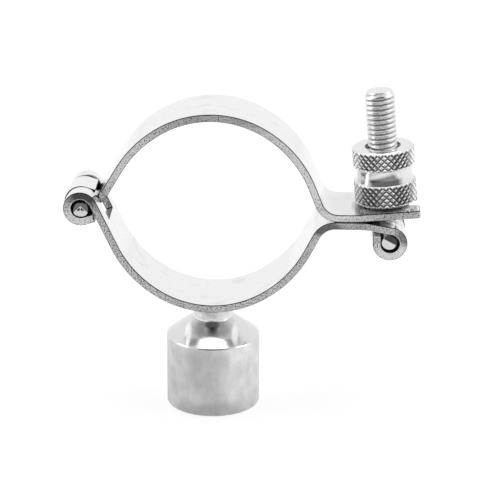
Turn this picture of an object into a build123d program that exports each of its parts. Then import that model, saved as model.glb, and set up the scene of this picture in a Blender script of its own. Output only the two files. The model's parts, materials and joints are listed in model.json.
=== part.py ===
from build123d import *
import os
from math import acos, atan2, cos, degrees, hypot, radians, sin, tan

# Hinged pipe hanger: two bent bands on a hinge, closed by a swing bolt, on a turned and tapped boss.
# Millimetres. X points towards the bolt, Y away from the viewer along the tube, Z up.
# The origin is the centre of the boss's lower face, which is the mouth of its tapped hole.

# Tube and strip
TUBE_DIAMETER = 38.1
TUBE_CLEARANCE = 0.5
STRIP_WIDTH = 15.0
STRIP_THICKNESS = 1.5
SEAT_HALF_ANGLE = 30.0
SHOULDER_EASE = 3.2
UPPER_FLANK = 21.5
LOWER_FLANK = 27.0

# Boss, from its lower face upwards
BOSS_DIAMETER = 19.2
BOSS_HEIGHT = 15.0
CONE_HEIGHT = 3.8
NECK_DIAMETER = 6.8
NECK_HEIGHT = 3.45
BOSS_EDGE = 0.25
TAPPED_DIAMETER = 8.5
TAPPED_DEPTH = 12.0
MOUTH_LEDGE = 0.75
MOUTH_ANGLE = 120.0
DRILL_POINT = 118.0
WELD_THICKNESS = 0.6
WELD_FLARE = 0.8
CONE_LEDGE = 0.1

# Pins and the rolled knuckles around them
PIN_DIAMETER = 3.0
PIN_RECESS = 0.2
PIN_CHAMFER = 0.25
KNUCKLE_LOOSENESS = 0.9
HINGE_STANDOFF = 6.85
HINGE_RISE = 0.95
HINGE_PIN_LIFT = 0.1
HINGE_TONGUE = 7.0
HINGE_TONGUE_SHIFT = 0.2
HINGE_SIDE_GAP = 0.3
HINGE_LUG_LENGTH = 5.2
HINGE_TAIL_ANGLE = 17.5
HINGE_TAIL = 2.0
BOLT_PIN_SHIFT = 0.15
BOLT_TAIL = 1.55

# Flanges
PARTING_DROP = 1.1
PARTING_GAP = 0.05
BEND_RADIUS = 3.5
LOWER_FLAT = 5.77
LOWER_RAMP = 5.69
LOWER_FALL = 9.75
FLANGE_BEND = 12.0
FLANGE_CORNER = 0.8
FLANGE_OVERHANG = 0.25
CLAMP_TILT = 5.0
BOLT_SLOT_CLEARANCE = 0.4
BOLT_SLOT_BACK = 0.4

# Swing bolt
THREAD_DIAMETER = 5.9
BOLT_LENGTH = 29.6
BOLT_POINT = 0.75
EYE_WALL = 1.9
EYE_SHOULDER = 0.25
EYE_PIN_CLEARANCE = 0.05

# Knurled nut, from its seat upwards
NUT_DIAMETER = 12.5
NUT_FOOT = 0.7
NUT_LOWER_KNURL = 4.3
NUT_NECK = 2.9
NUT_UPPER_KNURL = 4.0
NUT_NECK_DEPTH = 0.65
NUT_NECK_EDGE = 0.3
NUT_TOP_EDGE = 0.4
NUT_COUNTERSINK = 0.6
NUT_THREAD_CLEARANCE = 0.05
NUT_SEAT_GAP = 0.02
NUT_MARGIN = 0.2

# Places worked out from the sizes above
HALF_STRIP = STRIP_THICKNESS / 2
NECK_TOP = BOSS_HEIGHT + CONE_HEIGHT + NECK_HEIGHT
SEAT_RADIUS = (TUBE_DIAMETER + TUBE_CLEARANCE) / 2
RING_CENTRE = Vector(0, 0, NECK_TOP + STRIP_THICKNESS + SEAT_RADIUS)
RING_Z = RING_CENTRE.Z
SEAT_LINE = SEAT_RADIUS + HALF_STRIP
SHOULDER_LINE = SEAT_LINE + SHOULDER_EASE
KNUCKLE_LINE = (PIN_DIAMETER + KNUCKLE_LOOSENESS) / 2 + HALF_STRIP
PARTING_Z = RING_Z - PARTING_DROP
UPPER_FLANGE_Z = PARTING_Z + PARTING_GAP / 2 + HALF_STRIP
LOWER_FLANGE_Z = PARTING_Z - PARTING_GAP / 2 - HALF_STRIP
HINGE_KNUCKLE = RING_CENTRE + Vector(-SEAT_RADIUS - HINGE_STANDOFF, 0, HINGE_RISE)
TONGUE_KNUCKLE = HINGE_KNUCKLE - Vector(HINGE_TONGUE_SHIFT, 0, 0)
HINGE_AXIS = HINGE_KNUCKLE - Vector(0, 0, KNUCKLE_LOOSENESS / 2 - HINGE_PIN_LIFT)
PIN_LENGTH = STRIP_WIDTH - 2 * PIN_RECESS
EYE_DIAMETER = PIN_DIAMETER + 2 * EYE_WALL
EYE_WIDTH = THREAD_DIAMETER + 2 * EYE_SHOULDER
UPPER_SLOT_WIDTH = THREAD_DIAMETER + 2 * BOLT_SLOT_CLEARANCE
LOWER_SLOT_WIDTH = EYE_WIDTH + 2 * BOLT_SLOT_CLEARANCE
NUT_RADIUS = NUT_DIAMETER / 2
NUT_HEIGHT = NUT_FOOT + NUT_LOWER_KNURL + NUT_NECK + NUT_UPPER_KNURL
FROM_LEFT = (Align.MIN, Align.CENTER, Align.CENTER)


def polar(centre, radius, angle):
    """The point of the XZ plane at a radius and an angle, counted from +X towards +Z."""
    return centre + radius * Vector(cos(radians(angle)), 0, sin(radians(angle)))


def heading(angle):
    """The unit vector of the XZ plane at an angle."""
    return Vector(cos(radians(angle)), 0, sin(radians(angle)))


def arc(centre, radius, first, last):
    """An arc of the XZ plane from one angle to another."""
    first, middle, last = [polar(centre, radius, angle) for angle in (first, (first + last) / 2, last)]
    return ThreePointArc(first, middle, last)


def shoulder_centre(junction):
    """The centre of the shoulder arc that leaves the seat arc at an angle."""
    return polar(RING_CENTRE, -SHOULDER_EASE, junction)


def cross_tangent(shoulder, knuckle, side):
    """The angle of the normal of the line that crosses over between a shoulder arc and a knuckle."""
    between = shoulder - knuckle
    reach = acos((SHOULDER_LINE + KNUCKLE_LINE) / hypot(between.X, between.Z))
    return degrees(atan2(between.Z, between.X) + side * reach)


def ring_arcs(middle, first, last):
    """The seat arc about a middle angle, with its two shoulder arcs, from the first angle to the last."""
    turn = SEAT_HALF_ANGLE if last > first else -SEAT_HALF_ANGLE
    return [
        arc(shoulder_centre(middle - turn), SHOULDER_LINE, first, middle - turn),
        arc(RING_CENTRE, SEAT_LINE, middle - turn, middle + turn),
        arc(shoulder_centre(middle + turn), SHOULDER_LINE, middle + turn, last),
    ]


def strip(path, first_y, last_y):
    """The flat strip bent along a path, between two depths."""
    start = Plane(origin=path @ 0, x_dir=(0, 1, 0), z_dir=path % 0)
    width = last_y - first_y
    section = start * Pos(first_y + width / 2, 0) * Rectangle(width, STRIP_THICKNESS)
    return sweep(section, path=path)


def paired_lugs(path, inner_width):
    """The two lugs that stay beside a notch of the given width."""
    edge = STRIP_WIDTH / 2
    return strip(path, -edge, -inner_width / 2) + strip(path, inner_width / 2, edge)


def flank_bend(tangent, direction, level, side):
    """The flank from the ring down or up to the flange's level, and its bend; side is 1 above, -1 below."""
    radius = BEND_RADIUS + HALF_STRIP
    along = heading(direction)
    turn = abs(direction)
    centre_z = level + side * radius
    normal = Vector(-along.Z, 0, along.X) * side
    reach = (centre_z - tangent.Z - radius * normal.Z) / along.Z
    bend_start = tangent + along * reach
    centre = bend_start + normal * radius
    first = -90 * side - side * turn
    return Line(tangent, bend_start), arc(centre, radius, first, -90 * side), Vector(centre.X, 0, level)


def lower_flank():
    """The lower band's flank and bend on the right, and the point where its flange starts."""
    ring_end = polar(shoulder_centre(270 + SEAT_HALF_ANGLE), SHOULDER_LINE, -LOWER_FLANK)
    return flank_bend(ring_end, 90 - LOWER_FLANK, LOWER_FLANGE_Z, -1)


def upper_flank():
    """The upper band's flank and bend on the right, and the point where its flange starts."""
    ring_end = polar(shoulder_centre(90 - SEAT_HALF_ANGLE), SHOULDER_LINE, UPPER_FLANK)
    return flank_bend(ring_end, UPPER_FLANK - 90, UPPER_FLANGE_Z, 1)


def knee_bend(knee, angle):
    """The gentle bend of a flange at its knee, from level to an angle, and the bend's two ends."""
    side = 1 if angle > 0 else -1
    length = FLANGE_BEND * tan(radians(abs(angle) / 2))
    start = knee - Vector(length, 0, 0)
    centre = start + Vector(0, 0, side * FLANGE_BEND)
    return start, arc(centre, FLANGE_BEND, -90 * side, -90 * side + angle), knee + length * heading(angle)


# Places along the flanges, from the lower flange's bend out to the nut
LOWER_KNEE = lower_flank()[-1] + Vector(LOWER_FLAT, 0, 0)
BOLT_ROLL = LOWER_KNEE + LOWER_RAMP * heading(-LOWER_FALL)
BOLT_KNUCKLE = polar(BOLT_ROLL, KNUCKLE_LINE, -90 - LOWER_FALL)
BOLT_AXIS = BOLT_KNUCKLE + Vector(-BOLT_PIN_SHIFT, 0, BOLT_PIN_SHIFT)
BOLT_FRAME = Pos(*BOLT_AXIS) * Rot(0, -CLAMP_TILT, 0)
ALONG_BOLT = heading(90 + CLAMP_TILT)
ALONG_FLANGE = heading(CLAMP_TILT)
NUT_HALF_LAND = NUT_RADIUS + NUT_MARGIN
FLANGE_RISE = (UPPER_FLANGE_Z - BOLT_AXIS.Z + NUT_HALF_LAND * ALONG_FLANGE.Z) / ALONG_BOLT.Z
UPPER_KNEE = BOLT_AXIS + FLANGE_RISE * ALONG_BOLT - NUT_HALF_LAND * ALONG_FLANGE
FLANGE_TIP = BOLT_AXIS + FLANGE_RISE * ALONG_BOLT + (NUT_RADIUS + FLANGE_OVERHANG) * ALONG_FLANGE
NUT_HEEL = FLANGE_RISE + HALF_STRIP + NUT_SEAT_GAP


def lower_paths():
    """Centre lines of the lower band: its hinge lugs, and the rest out to the roll around the bolt's pin."""
    shoulder = shoulder_centre(270 - SEAT_HALF_ANGLE)
    lean = cross_tangent(shoulder, HINGE_KNUCKLE, 1)
    tail_start = -90 + HINGE_TAIL_ANGLE
    tail = polar(HINGE_KNUCKLE, KNUCKLE_LINE, tail_start)
    tail_end = tail + HINGE_TAIL * heading(HINGE_TAIL_ANGLE)
    roll_start = polar(HINGE_KNUCKLE, KNUCKLE_LINE, lean)
    ring_start = polar(shoulder, SHOULDER_LINE, lean + 180)
    down = (ring_start - roll_start).normalized()
    notch = roll_start + HINGE_LUG_LENGTH * down
    hinge_lugs = Wire(
        [
            Line(tail_end, tail),
            arc(HINGE_KNUCKLE, KNUCKLE_LINE, tail_start + 360, lean),
            Line(roll_start, notch),
        ]
    )
    flank, bend, flange_start = lower_flank()
    knee_start, knee, knee_end = knee_bend(LOWER_KNEE, -LOWER_FALL)
    bolt_tail = polar(BOLT_KNUCKLE, KNUCKLE_LINE, 180)
    body = Wire(
        [
            Line(notch, ring_start),
            *ring_arcs(270, lean + 180, 360 - LOWER_FLANK),
            flank,
            bend,
            Line(flange_start, knee_start),
            knee,
            Line(knee_end, BOLT_ROLL),
            arc(BOLT_KNUCKLE, KNUCKLE_LINE, 90 - LOWER_FALL, -180),
            Line(bolt_tail, bolt_tail + Vector(0, 0, BOLT_TAIL)),
        ]
    )
    return hinge_lugs, body


def eye_slot():
    """The slot of the lower band for the bolt's eye, from its closed end outwards."""
    closed_end = BOLT_AXIS - Vector(EYE_DIAMETER / 2 + BOLT_SLOT_CLEARANCE, 0, 0)
    return Pos(*closed_end) * Box(BOLT_LENGTH, LOWER_SLOT_WIDTH, BOLT_LENGTH, align=FROM_LEFT)


def lower_band():
    hinge_lugs, body = lower_paths()
    band = strip(body, -STRIP_WIDTH / 2, STRIP_WIDTH / 2) - eye_slot()
    return band + paired_lugs(hinge_lugs, HINGE_TONGUE + 2 * HINGE_SIDE_GAP)


def upper_paths():
    """Centre lines of the upper band: hinge tongue, full-width part with the flange."""
    shoulder = shoulder_centre(90 + SEAT_HALF_ANGLE)
    lean = cross_tangent(shoulder, TONGUE_KNUCKLE, -1)
    tail_start = 90 - HINGE_TAIL_ANGLE
    tail = polar(TONGUE_KNUCKLE, KNUCKLE_LINE, tail_start)
    tail_end = tail + HINGE_TAIL * heading(-HINGE_TAIL_ANGLE)
    roll_start = polar(TONGUE_KNUCKLE, KNUCKLE_LINE, lean)
    ring_start = polar(shoulder, SHOULDER_LINE, lean + 180)
    up = (ring_start - roll_start).normalized()
    tongue_root = roll_start + HINGE_LUG_LENGTH * up
    tongue = Wire(
        [
            Line(tail_end, tail),
            arc(TONGUE_KNUCKLE, KNUCKLE_LINE, tail_start, 360 + lean),
            Line(roll_start, tongue_root),
        ]
    )
    flank, bend, flange_start = upper_flank()
    knee_start, knee, knee_end = knee_bend(UPPER_KNEE, CLAMP_TILT)
    body = Wire(
        [
            Line(tongue_root, ring_start),
            *ring_arcs(90, lean + 180, UPPER_FLANK),
            flank,
            bend,
            Line(flange_start, knee_start),
            knee,
            Line(knee_end, FLANGE_TIP),
        ]
    )
    return tongue, body


def bolt_slot():
    """The open-ended slot of the upper flange, cut along the bolt."""
    back = Cylinder(UPPER_SLOT_WIDTH / 2, BOLT_LENGTH)
    mouth = Box(BOLT_LENGTH, UPPER_SLOT_WIDTH, BOLT_LENGTH, align=FROM_LEFT)
    return BOLT_FRAME * Pos(-BOLT_SLOT_BACK, 0, 0) * (back + mouth)


def upper_band():
    tongue, body = upper_paths()
    band = strip(body, -STRIP_WIDTH / 2, STRIP_WIDTH / 2) - bolt_slot()
    across_flange = Axis((0, 0, 0), ALONG_BOLT)
    tip_corners = band.edges().filter_by(across_flange).sort_by(Axis.X)[-4:]
    band = fillet(tip_corners, FLANGE_CORNER)
    return band + strip(tongue, -HINGE_TONGUE / 2, HINGE_TONGUE / 2)


def pin(axis):
    body = Cylinder(PIN_DIAMETER / 2, PIN_LENGTH)
    body = chamfer(body.edges().filter_by(GeomType.CIRCLE), PIN_CHAMFER)
    return Pos(*axis) * Rot(90, 0, 0) * body


def swing_bolt():
    radius = THREAD_DIAMETER / 2
    rod = Pos(0, 0, BOLT_LENGTH / 2) * Cylinder(radius, BOLT_LENGTH)
    rod = chamfer(rod.edges().filter_by(GeomType.CIRCLE).sort_by(Axis.Z)[-1], BOLT_POINT)
    eye = Rot(90, 0, 0) * Cylinder(EYE_DIAMETER / 2, EYE_WIDTH)
    hole = Rot(90, 0, 0) * Cylinder(PIN_DIAMETER / 2 + EYE_PIN_CLEARANCE, EYE_WIDTH)
    return BOLT_FRAME * (rod + eye - hole)


def turned(points):
    """A solid of revolution about Z from (radius, height) points."""
    outline = [(r, 0, z) for r, z in points]
    return revolve(make_face(Polyline(*outline, close=True)), Axis.Z)


def knurled_nut():
    waist = NUT_RADIUS - NUT_NECK_DEPTH
    bore = THREAD_DIAMETER / 2 + NUT_THREAD_CLEARANCE
    mouth = bore + NUT_COUNTERSINK
    lower_top = NUT_FOOT + NUT_LOWER_KNURL
    upper_base = lower_top + NUT_NECK
    body = turned(
        [
            (mouth, 0),
            (NUT_RADIUS - NUT_FOOT, 0),
            (NUT_RADIUS, NUT_FOOT),
            (NUT_RADIUS, lower_top - NUT_NECK_EDGE),
            (NUT_RADIUS - NUT_NECK_EDGE, lower_top),
            (waist, lower_top),
            (waist, upper_base),
            (NUT_RADIUS - NUT_NECK_EDGE, upper_base),
            (NUT_RADIUS, upper_base + NUT_NECK_EDGE),
            (NUT_RADIUS, NUT_HEIGHT - NUT_TOP_EDGE),
            (NUT_RADIUS - NUT_TOP_EDGE, NUT_HEIGHT),
            (mouth, NUT_HEIGHT),
            (bore, NUT_HEIGHT - NUT_COUNTERSINK),
            (bore, NUT_COUNTERSINK),
        ]
    )
    return BOLT_FRAME * Pos(0, 0, NUT_HEEL) * body


def band_envelope():
    """The solid cylinder that fills the ring out to the outer face of the seat arc."""
    return Pos(*RING_CENTRE) * Rot(90, 0, 0) * Cylinder(SEAT_RADIUS + STRIP_THICKNESS, BOSS_DIAMETER)


def socket_boss():
    outer = BOSS_DIAMETER / 2
    neck = NECK_DIAMETER / 2
    cone_top = neck + WELD_THICKNESS + CONE_LEDGE
    tapped = TAPPED_DIAMETER / 2
    mouth = tapped + MOUTH_LEDGE
    point = tapped / tan(radians(DRILL_POINT / 2))
    mouth_depth = MOUTH_LEDGE / tan(radians(MOUTH_ANGLE / 2))
    shoulder = BOSS_HEIGHT + CONE_HEIGHT
    above = NECK_TOP + STRIP_THICKNESS
    body = turned(
        [
            (mouth, 0),
            (outer - BOSS_EDGE, 0),
            (outer, BOSS_EDGE),
            (outer, BOSS_HEIGHT),
            (cone_top, shoulder),
            (neck, shoulder),
            (neck, above),
            (0, above),
            (0, TAPPED_DEPTH + point),
            (tapped, TAPPED_DEPTH),
            (tapped, mouth_depth),
        ]
    )
    return body - band_envelope()


def boss_weld():
    inner = NECK_DIAMETER / 2
    outer = inner + WELD_THICKNESS
    shoulder = BOSS_HEIGHT + CONE_HEIGHT
    flare = NECK_TOP - WELD_FLARE
    above = NECK_TOP + STRIP_THICKNESS
    body = turned(
        [
            (inner, shoulder),
            (outer, shoulder),
            (outer, flare),
            (outer + WELD_FLARE, NECK_TOP),
            (outer + WELD_FLARE, above),
            (inner, above),
        ]
    )
    return body - band_envelope()


PARTS = {
    "lower_band": lower_band,
    "upper_band": upper_band,
    "hinge_pin": lambda: pin(HINGE_AXIS),
    "bolt_pin": lambda: pin(BOLT_AXIS),
    "swing_bolt": swing_bolt,
    "knurled_nut": knurled_nut,
    "socket_boss": socket_boss,
    "boss_weld": boss_weld,
}

os.makedirs("parts", exist_ok=True)
for name, make in PARTS.items():
    export_step(make(), f"parts/{name}.step")
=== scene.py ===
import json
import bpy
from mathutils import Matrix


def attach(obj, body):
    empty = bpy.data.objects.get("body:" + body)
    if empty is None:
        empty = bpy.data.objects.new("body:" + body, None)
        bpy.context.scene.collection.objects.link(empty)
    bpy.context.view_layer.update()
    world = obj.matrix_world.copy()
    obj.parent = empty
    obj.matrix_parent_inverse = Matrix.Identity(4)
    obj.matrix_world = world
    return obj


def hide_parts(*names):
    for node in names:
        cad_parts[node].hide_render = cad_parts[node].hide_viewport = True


bl_info = {
    "name": "Hinged pipe hanger",
    "version": (1, 0, 0),
    "blender": (4, 5, 0),
    "location": "3D View > Sidebar > Hanger",
    "description": "Bands, pins, swing bolt, knurled nut, boss and weld of a hinged pipe hanger, with its stage",
    "category": "Object",
}

from math import atan2, cos, hypot, pi, radians, sin, sqrt, tau

import bmesh
import bpy
from bpy.props import FloatProperty, FloatVectorProperty, PointerProperty
from mathutils import Matrix, Vector, noise

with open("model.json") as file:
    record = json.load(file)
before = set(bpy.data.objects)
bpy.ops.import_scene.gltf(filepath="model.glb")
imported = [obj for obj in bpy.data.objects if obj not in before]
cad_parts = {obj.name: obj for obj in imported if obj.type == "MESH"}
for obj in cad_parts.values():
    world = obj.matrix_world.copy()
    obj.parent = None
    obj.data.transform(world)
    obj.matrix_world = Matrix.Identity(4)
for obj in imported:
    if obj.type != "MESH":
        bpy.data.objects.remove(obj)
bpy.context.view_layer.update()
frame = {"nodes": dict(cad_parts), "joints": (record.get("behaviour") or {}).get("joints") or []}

MM = 0.001
JOINTS = {joint["name"]: joint for joint in frame["joints"]}
HINGE_AXIS = Vector(JOINTS["clamp_hinge"]["pos_m"])
BOLT_AXIS = Vector(JOINTS["bolt_swing"]["pos_m"])
ALONG_BOLT = Vector(JOINTS["nut_travel"]["axis"])
BOLT_FRAME = Matrix.Translation(BOLT_AXIS) @ Vector((0, 0, 1)).rotation_difference(ALONG_BOLT).to_matrix().to_4x4()


def linear(code):
    """An sRGB hex colour as the linear values that Blender takes."""
    parts = [int(code[i : i + 2], 16) / 255 for i in (1, 3, 5)]
    return [p / 12.92 if p <= 0.04045 else ((p + 0.055) / 1.055) ** 2.4 for p in parts]


def length(name, description, default):
    return FloatProperty(name=name, description=description, default=default * MM, unit="LENGTH", precision=5)


def colour(name, description, default):
    return FloatVectorProperty(name=name, description=description, default=linear(default), subtype="COLOR")


def share(name, description, default):
    return FloatProperty(name=name, description=description, default=default, min=0, max=1, subtype="FACTOR")


def tilt(name, description, degrees):
    return FloatProperty(name=name, description=description, default=radians(degrees), subtype="ANGLE")


# ------------------------------------------------------------------ sizes and colours a user would change


class BandSettings(bpy.types.PropertyGroup):
    edge_round: length("Edge rounding", "Width of the tumbled rounding on the strip's edges", 0.15)
    skin: colour("Polished face", "Colour of the strip's polished faces", "#EEEEEE")
    smudge: colour("Smudges", "Colour of the faint handling smudges on the polished faces", "#E3E3E3")
    edge: colour("Sheared edge", "Colour of the strip's sheared edges", "#E4E4E4")
    pits: colour("Sheared edge pits", "Colour of the torn pits in the sheared edges", "#4E4E4E")
    # the corners that face up take a painted shade, those that face down a lighter painted tone
    tumbled: colour("Upper corners", "Colour of the rounded corners that face up", "#303030")
    under: colour("Lower corners", "Colour of the rounded corners that face down", "#868686")
    # the brighter stretches of the sheared edges and their pits are painted light
    edge_light_tone: colour("Fresh shear", "Colour of the brighter stretches of the sheared edges", "#FCFCFC")
    edge_light_pits: colour("Fresh pits", "Colour of the pits in the brighter stretches", "#B8B8B8")
    burr: colour("Burr", "Colour of the bright burr around the knuckle bores", "#F2F2F2")
    # painted shade inside the knuckles and in the gaps between them
    bore: colour("Knuckle bore", "Colour inside the rolled knuckles", "#3A3A3A")


class PinSettings(bpy.types.PropertyGroup):
    diameter: length("Diameter", "Diameter of the pins", 3.0)
    span: length("Length", "Length of the pins", 14.6)
    chamfer: length("Chamfer", "Width of the chamfer at each end", 0.25)
    steel: colour("Steel", "Colour of the drawn pin wire", "#DADADA")
    ridge: colour("Chamfer edge", "Colour of the chamfers at the cropped ends", "#F2F2F2")


class BoltSettings(bpy.types.PropertyGroup):
    diameter: length("Thread diameter", "Outer diameter of the rolled thread", 5.9)
    pitch: length("Thread pitch", "Distance from one turn to the next", 1.0)
    depth: length("Thread depth", "Depth of the thread below its crests", 0.38)
    reach: length("Length", "From the pin's centre to the tip of the bolt", 29.6)
    point: length("Point", "Length of the tapered tip", 0.95)
    eye_diameter: length("Eye diameter", "Outer diameter of the eye", 6.8)
    eye_width: length("Eye width", "Width of the eye along the pin", 6.4)
    eye_hole: length("Eye hole", "Diameter of the hole through the eye", 3.1)
    steel: colour("Steel", "Colour of the rolled thread", "#E6E6E6")
    # painted shade towards the thread's root, together with its oil and oxide
    root: colour("Thread root", "Colour at the bottom of the thread", "#A4A4A4")


class NutSettings(bpy.types.PropertyGroup):
    heel: length("Heel", "From the bolt's pin to the foot of the nut", 6.3781)
    diameter: length("Diameter", "Diameter over the knurls", 12.5)
    bore: length("Bore", "Diameter of the bore", 6.0)
    neck_depth: length("Neck depth", "Depth of the neck below the knurls", 0.65)
    groove: length("Groove depth", "Depth of the knurl's grooves", 0.3)
    steel: colour("Steel", "Colour of the turned and knurled steel", "#E6E6E6")
    # painted shade in the knurl's grooves and the nut's bore, together with the cutting oil's film
    groove_oil_and_shade: colour("Groove", "Colour at the bottom of the knurl's grooves", "#767676")
    # this colour is painted shade at the nut's foot, in the countersink and the top of the bore, and a painted dark
    # reflection low in the neck's front
    oil: colour("Oil film", "Colour of the oil film at the nut's foot and low in its neck", "#464646")


class BossSettings(bpy.types.PropertyGroup):
    diameter: length("Diameter", "Diameter of the boss", 19.2)
    height: length("Height", "Height of the cylindrical part", 15.0)
    cone: length("Cone height", "Height of the cone over the cylinder", 3.8)
    neck: length("Neck diameter", "Diameter of the neck inside the weld", 6.8)
    tapped: length("Tapped hole", "Diameter of the hole at the thread's crests", 8.5)
    depth: length("Hole depth", "Depth of the full diameter", 12.0)
    pitch: length("Thread pitch", "Distance from one turn to the next", 1.5)
    satin: colour("Satin cylinder", "Colour of the satin cylinder", "#F0F0F0")
    turned: colour("Turned cone", "Colour of the bright turned cone", "#DEDEDE")
    # painted dark reflections on the cone around the weld
    tint: colour("Heat tint", "Colour of the brushed heat tint beside the weld", "#525252")


class WeldSettings(bpy.types.PropertyGroup):
    radius: length("Radius", "Radius of the weld collar at its waist", 4.0)
    flare: length("Flare", "How far the collar flares out under the strip", 0.8)
    ripple: length("Ripple", "Height of the weld's ripples", 0.07)
    steel: colour("Steel", "Colour of the brushed weld", "#E6E6E6")


class StageSettings(bpy.types.PropertyGroup):
    lens: FloatProperty(name="Focal length", description="Focal length in millimetres", default=140.006)
    pitch: tilt("Pitch", "How far the camera looks down", 19.8598)
    yaw: tilt("Yaw", "Turn of the camera about the vertical", 1.7614)
    roll: tilt("Roll", "Turn of the camera about its view", 0.2478)
    stand: FloatVectorProperty(
        name="Camera position",
        description="Where the camera stands",
        default=(0.016491, -0.357874, 0.164592),
        subtype="TRANSLATION",
        precision=5,
    )
    floor_grey: share("Floor", "How much light the floor gives back", 0.4)
    ground_grey: share("Front ground", "Brightness of the far ground in front, which metal shows", 0.28)
    flag_grey: share("Front flag", "Brightness of the dark flag behind the camera", 0.07)


# ------------------------------------------------------------------ meshes


def is_sharp(edge, angle):
    return len(edge.link_faces) == 2 and edge.calc_face_angle(0) > angle


def spun(points, steps):
    """A closed shell turned about Z from (radius, height) points in metres."""
    bm = bmesh.new()
    verts = [bm.verts.new((r, 0, z)) for r, z in points]
    for pair in zip(verts, verts[1:] + verts[:1]):
        bm.edges.new(pair)
    bmesh.ops.spin(
        bm, geom=bm.verts[:] + bm.edges[:], cent=(0, 0, 0), axis=(0, 0, 1), angle=tau, steps=steps, use_merge=True
    )
    bmesh.ops.remove_doubles(bm, verts=bm.verts, dist=1e-7)
    bmesh.ops.recalc_face_normals(bm, faces=bm.faces)
    return bm


def levels(first, last, count):
    """Evenly spaced heights from the first to the last."""
    return [first + (last - first) * i / count for i in range(count + 1)]


def within(value):
    """A value kept between 0 and 1."""
    return min(1, max(0, value))


def off_axis(point):
    """How far a point lies from Z."""
    return hypot(point.x, point.y)


def set_radius(vert, radius):
    """Moves a vertex in or out to a distance from Z."""
    grown = radius / off_axis(vert.co)
    vert.co.x *= grown
    vert.co.y *= grown


def cut(bm, place, normal):
    """Takes off what lies beyond a plane, closes the cut and gives its faces."""
    made = bmesh.ops.bisect_plane(
        bm,
        geom=bm.verts[:] + bm.edges[:] + bm.faces[:],
        dist=1e-8,
        plane_co=place,
        plane_no=normal,
        clear_outer=True,
    )
    rim = [e for e in made["geom_cut"] if isinstance(e, bmesh.types.BMEdge) and e.is_boundary]
    return bmesh.ops.contextual_create(bm, geom=rim)["faces"] if rim else []


def as_object(bm, name, materials):
    """Turns a bmesh into an object in the scene."""
    mesh = bpy.data.meshes.new(name)
    bm.to_mesh(mesh)
    bm.free()
    for material in materials:
        mesh.materials.append(material)
    thing = bpy.data.objects.new(name, mesh)
    bpy.context.scene.collection.objects.link(thing)
    return thing


def make_piece(bm, name, materials, body, replaced, sharp):
    """Turns a bmesh into a piece that rides on a body and stands for a CAD node. Edges sharper than an angle in
    degrees stay sharp."""
    for edge in bm.edges:
        edge.smooth = not is_sharp(edge, radians(sharp))
    for face in bm.faces:
        face.smooth = True
    piece = as_object(bm, name, materials)
    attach(piece, body)
    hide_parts(replaced)
    return piece


# ------------------------------------------------------------------ materials


def add(tree, kind, inputs=None, **settings):
    """Adds a node, with its settings and with its inputs set or linked."""
    node = tree.nodes.new(kind)
    for name, value in settings.items():
        setattr(node, name, value)
    for key, value in (inputs or {}).items():
        if isinstance(value, bpy.types.NodeSocket):
            tree.links.new(value, node.inputs[key])
        else:
            node.inputs[key].default_value = value
    return node


def steel(name, tone, roughness):
    """A new bare steel material with a typical roughness, which most finishes vary: the material, its tree and its
    shader."""
    material = bpy.data.materials.new(name)
    material.use_nodes = True
    tree = material.node_tree
    shader = tree.nodes["Principled BSDF"]
    shader.inputs["Base Color"].default_value = (*tone, 1)
    shader.inputs["Metallic"].default_value = 1
    shader.inputs["Roughness"].default_value = roughness
    return material, tree, shader


def pattern(tree, size, detail=2, **scaled):
    """Noise on Object coordinates whose features are about a size in millimetres, stretched along axes on request."""
    where = add(tree, "ShaderNodeTexCoord").outputs["Object"]
    if scaled:
        stretch = [1 / scaled.get(axis, 1) for axis in "xyz"]
        where = add(tree, "ShaderNodeMapping", {"Vector": where, "Scale": stretch}).outputs["Vector"]
    made = add(tree, "ShaderNodeTexNoise", {"Vector": where, "Scale": 1 / (size * MM), "Detail": detail})
    return made.outputs["Fac"]


def shaded(tone, part):
    """A tone with a part of its brightness."""
    return [part * c for c in tone]


def layered(tree, tone, *layers):
    """A tone with other colours laid over it in order. Each layer has a mask, a colour, and between them the rise of
    the mask that brings the colour in (from, to, and how much of it shows then), or None where the mask is ready."""
    shown = tone
    for mask, rise, laid in layers:
        if rise:
            first, last, most = rise
            inputs = {"Value": mask, "From Min": first, "From Max": last, "To Min": 0, "To Max": most}
            mask = add(tree, "ShaderNodeMapRange", inputs).outputs["Result"]
        inputs = {0: mask}
        for key, value in ((6, shown), (7, laid)):
            inputs[key] = value if isinstance(value, bpy.types.NodeSocket) else (*value, 1)
        shown = add(tree, "ShaderNodeMix", inputs, data_type="RGBA").outputs[2]
    return shown


def paint(tree, shader, tone, *layers):
    """Gives a shader a tone with other colours laid over it."""
    tree.links.new(layered(tree, tone, *layers), shader.inputs["Base Color"])


def stains(tree, places):
    """1 in the middle of each place, down to 0 at its rim: each has a centre and three radii in mm, its strength, and
    the share of the radii that its full middle takes up."""
    where = add(tree, "ShaderNodeTexCoord").outputs["Object"]
    total = 0.0
    for centre, radii, strength, core in places:
        middle = [-c / r for c, r in zip(centre, radii)]
        scale = [1 / (r * MM) for r in radii]
        inputs = {"Vector": where, "Scale": scale, "Location": middle}
        moved = add(tree, "ShaderNodeMapping", inputs).outputs["Vector"]
        away = add(tree, "ShaderNodeVectorMath", {0: moved}, operation="LENGTH").outputs["Value"]
        inputs = {"Value": away, "From Min": core, "From Max": 1, "To Min": strength, "To Max": 0}
        soft = add(tree, "ShaderNodeMapRange", inputs).outputs["Result"]
        total = add(tree, "ShaderNodeMath", {0: total, 1: soft}, operation="MAXIMUM").outputs[0]
    return total


def roughen(tree, shader, dulling, low, high, bumps, depth):
    """Roughness that goes from low to high with one pattern, and bumps of a depth in millimetres from another."""
    inputs = {"Value": dulling, "From Min": 0.3, "From Max": 0.7, "To Min": low, "To Max": high}
    tree.links.new(add(tree, "ShaderNodeMapRange", inputs).outputs["Result"], shader.inputs["Roughness"])
    bump = add(tree, "ShaderNodeBump", {"Height": bumps, "Distance": depth * MM, "Strength": 1})
    tree.links.new(bump.outputs["Normal"], shader.inputs["Normal"])


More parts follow.
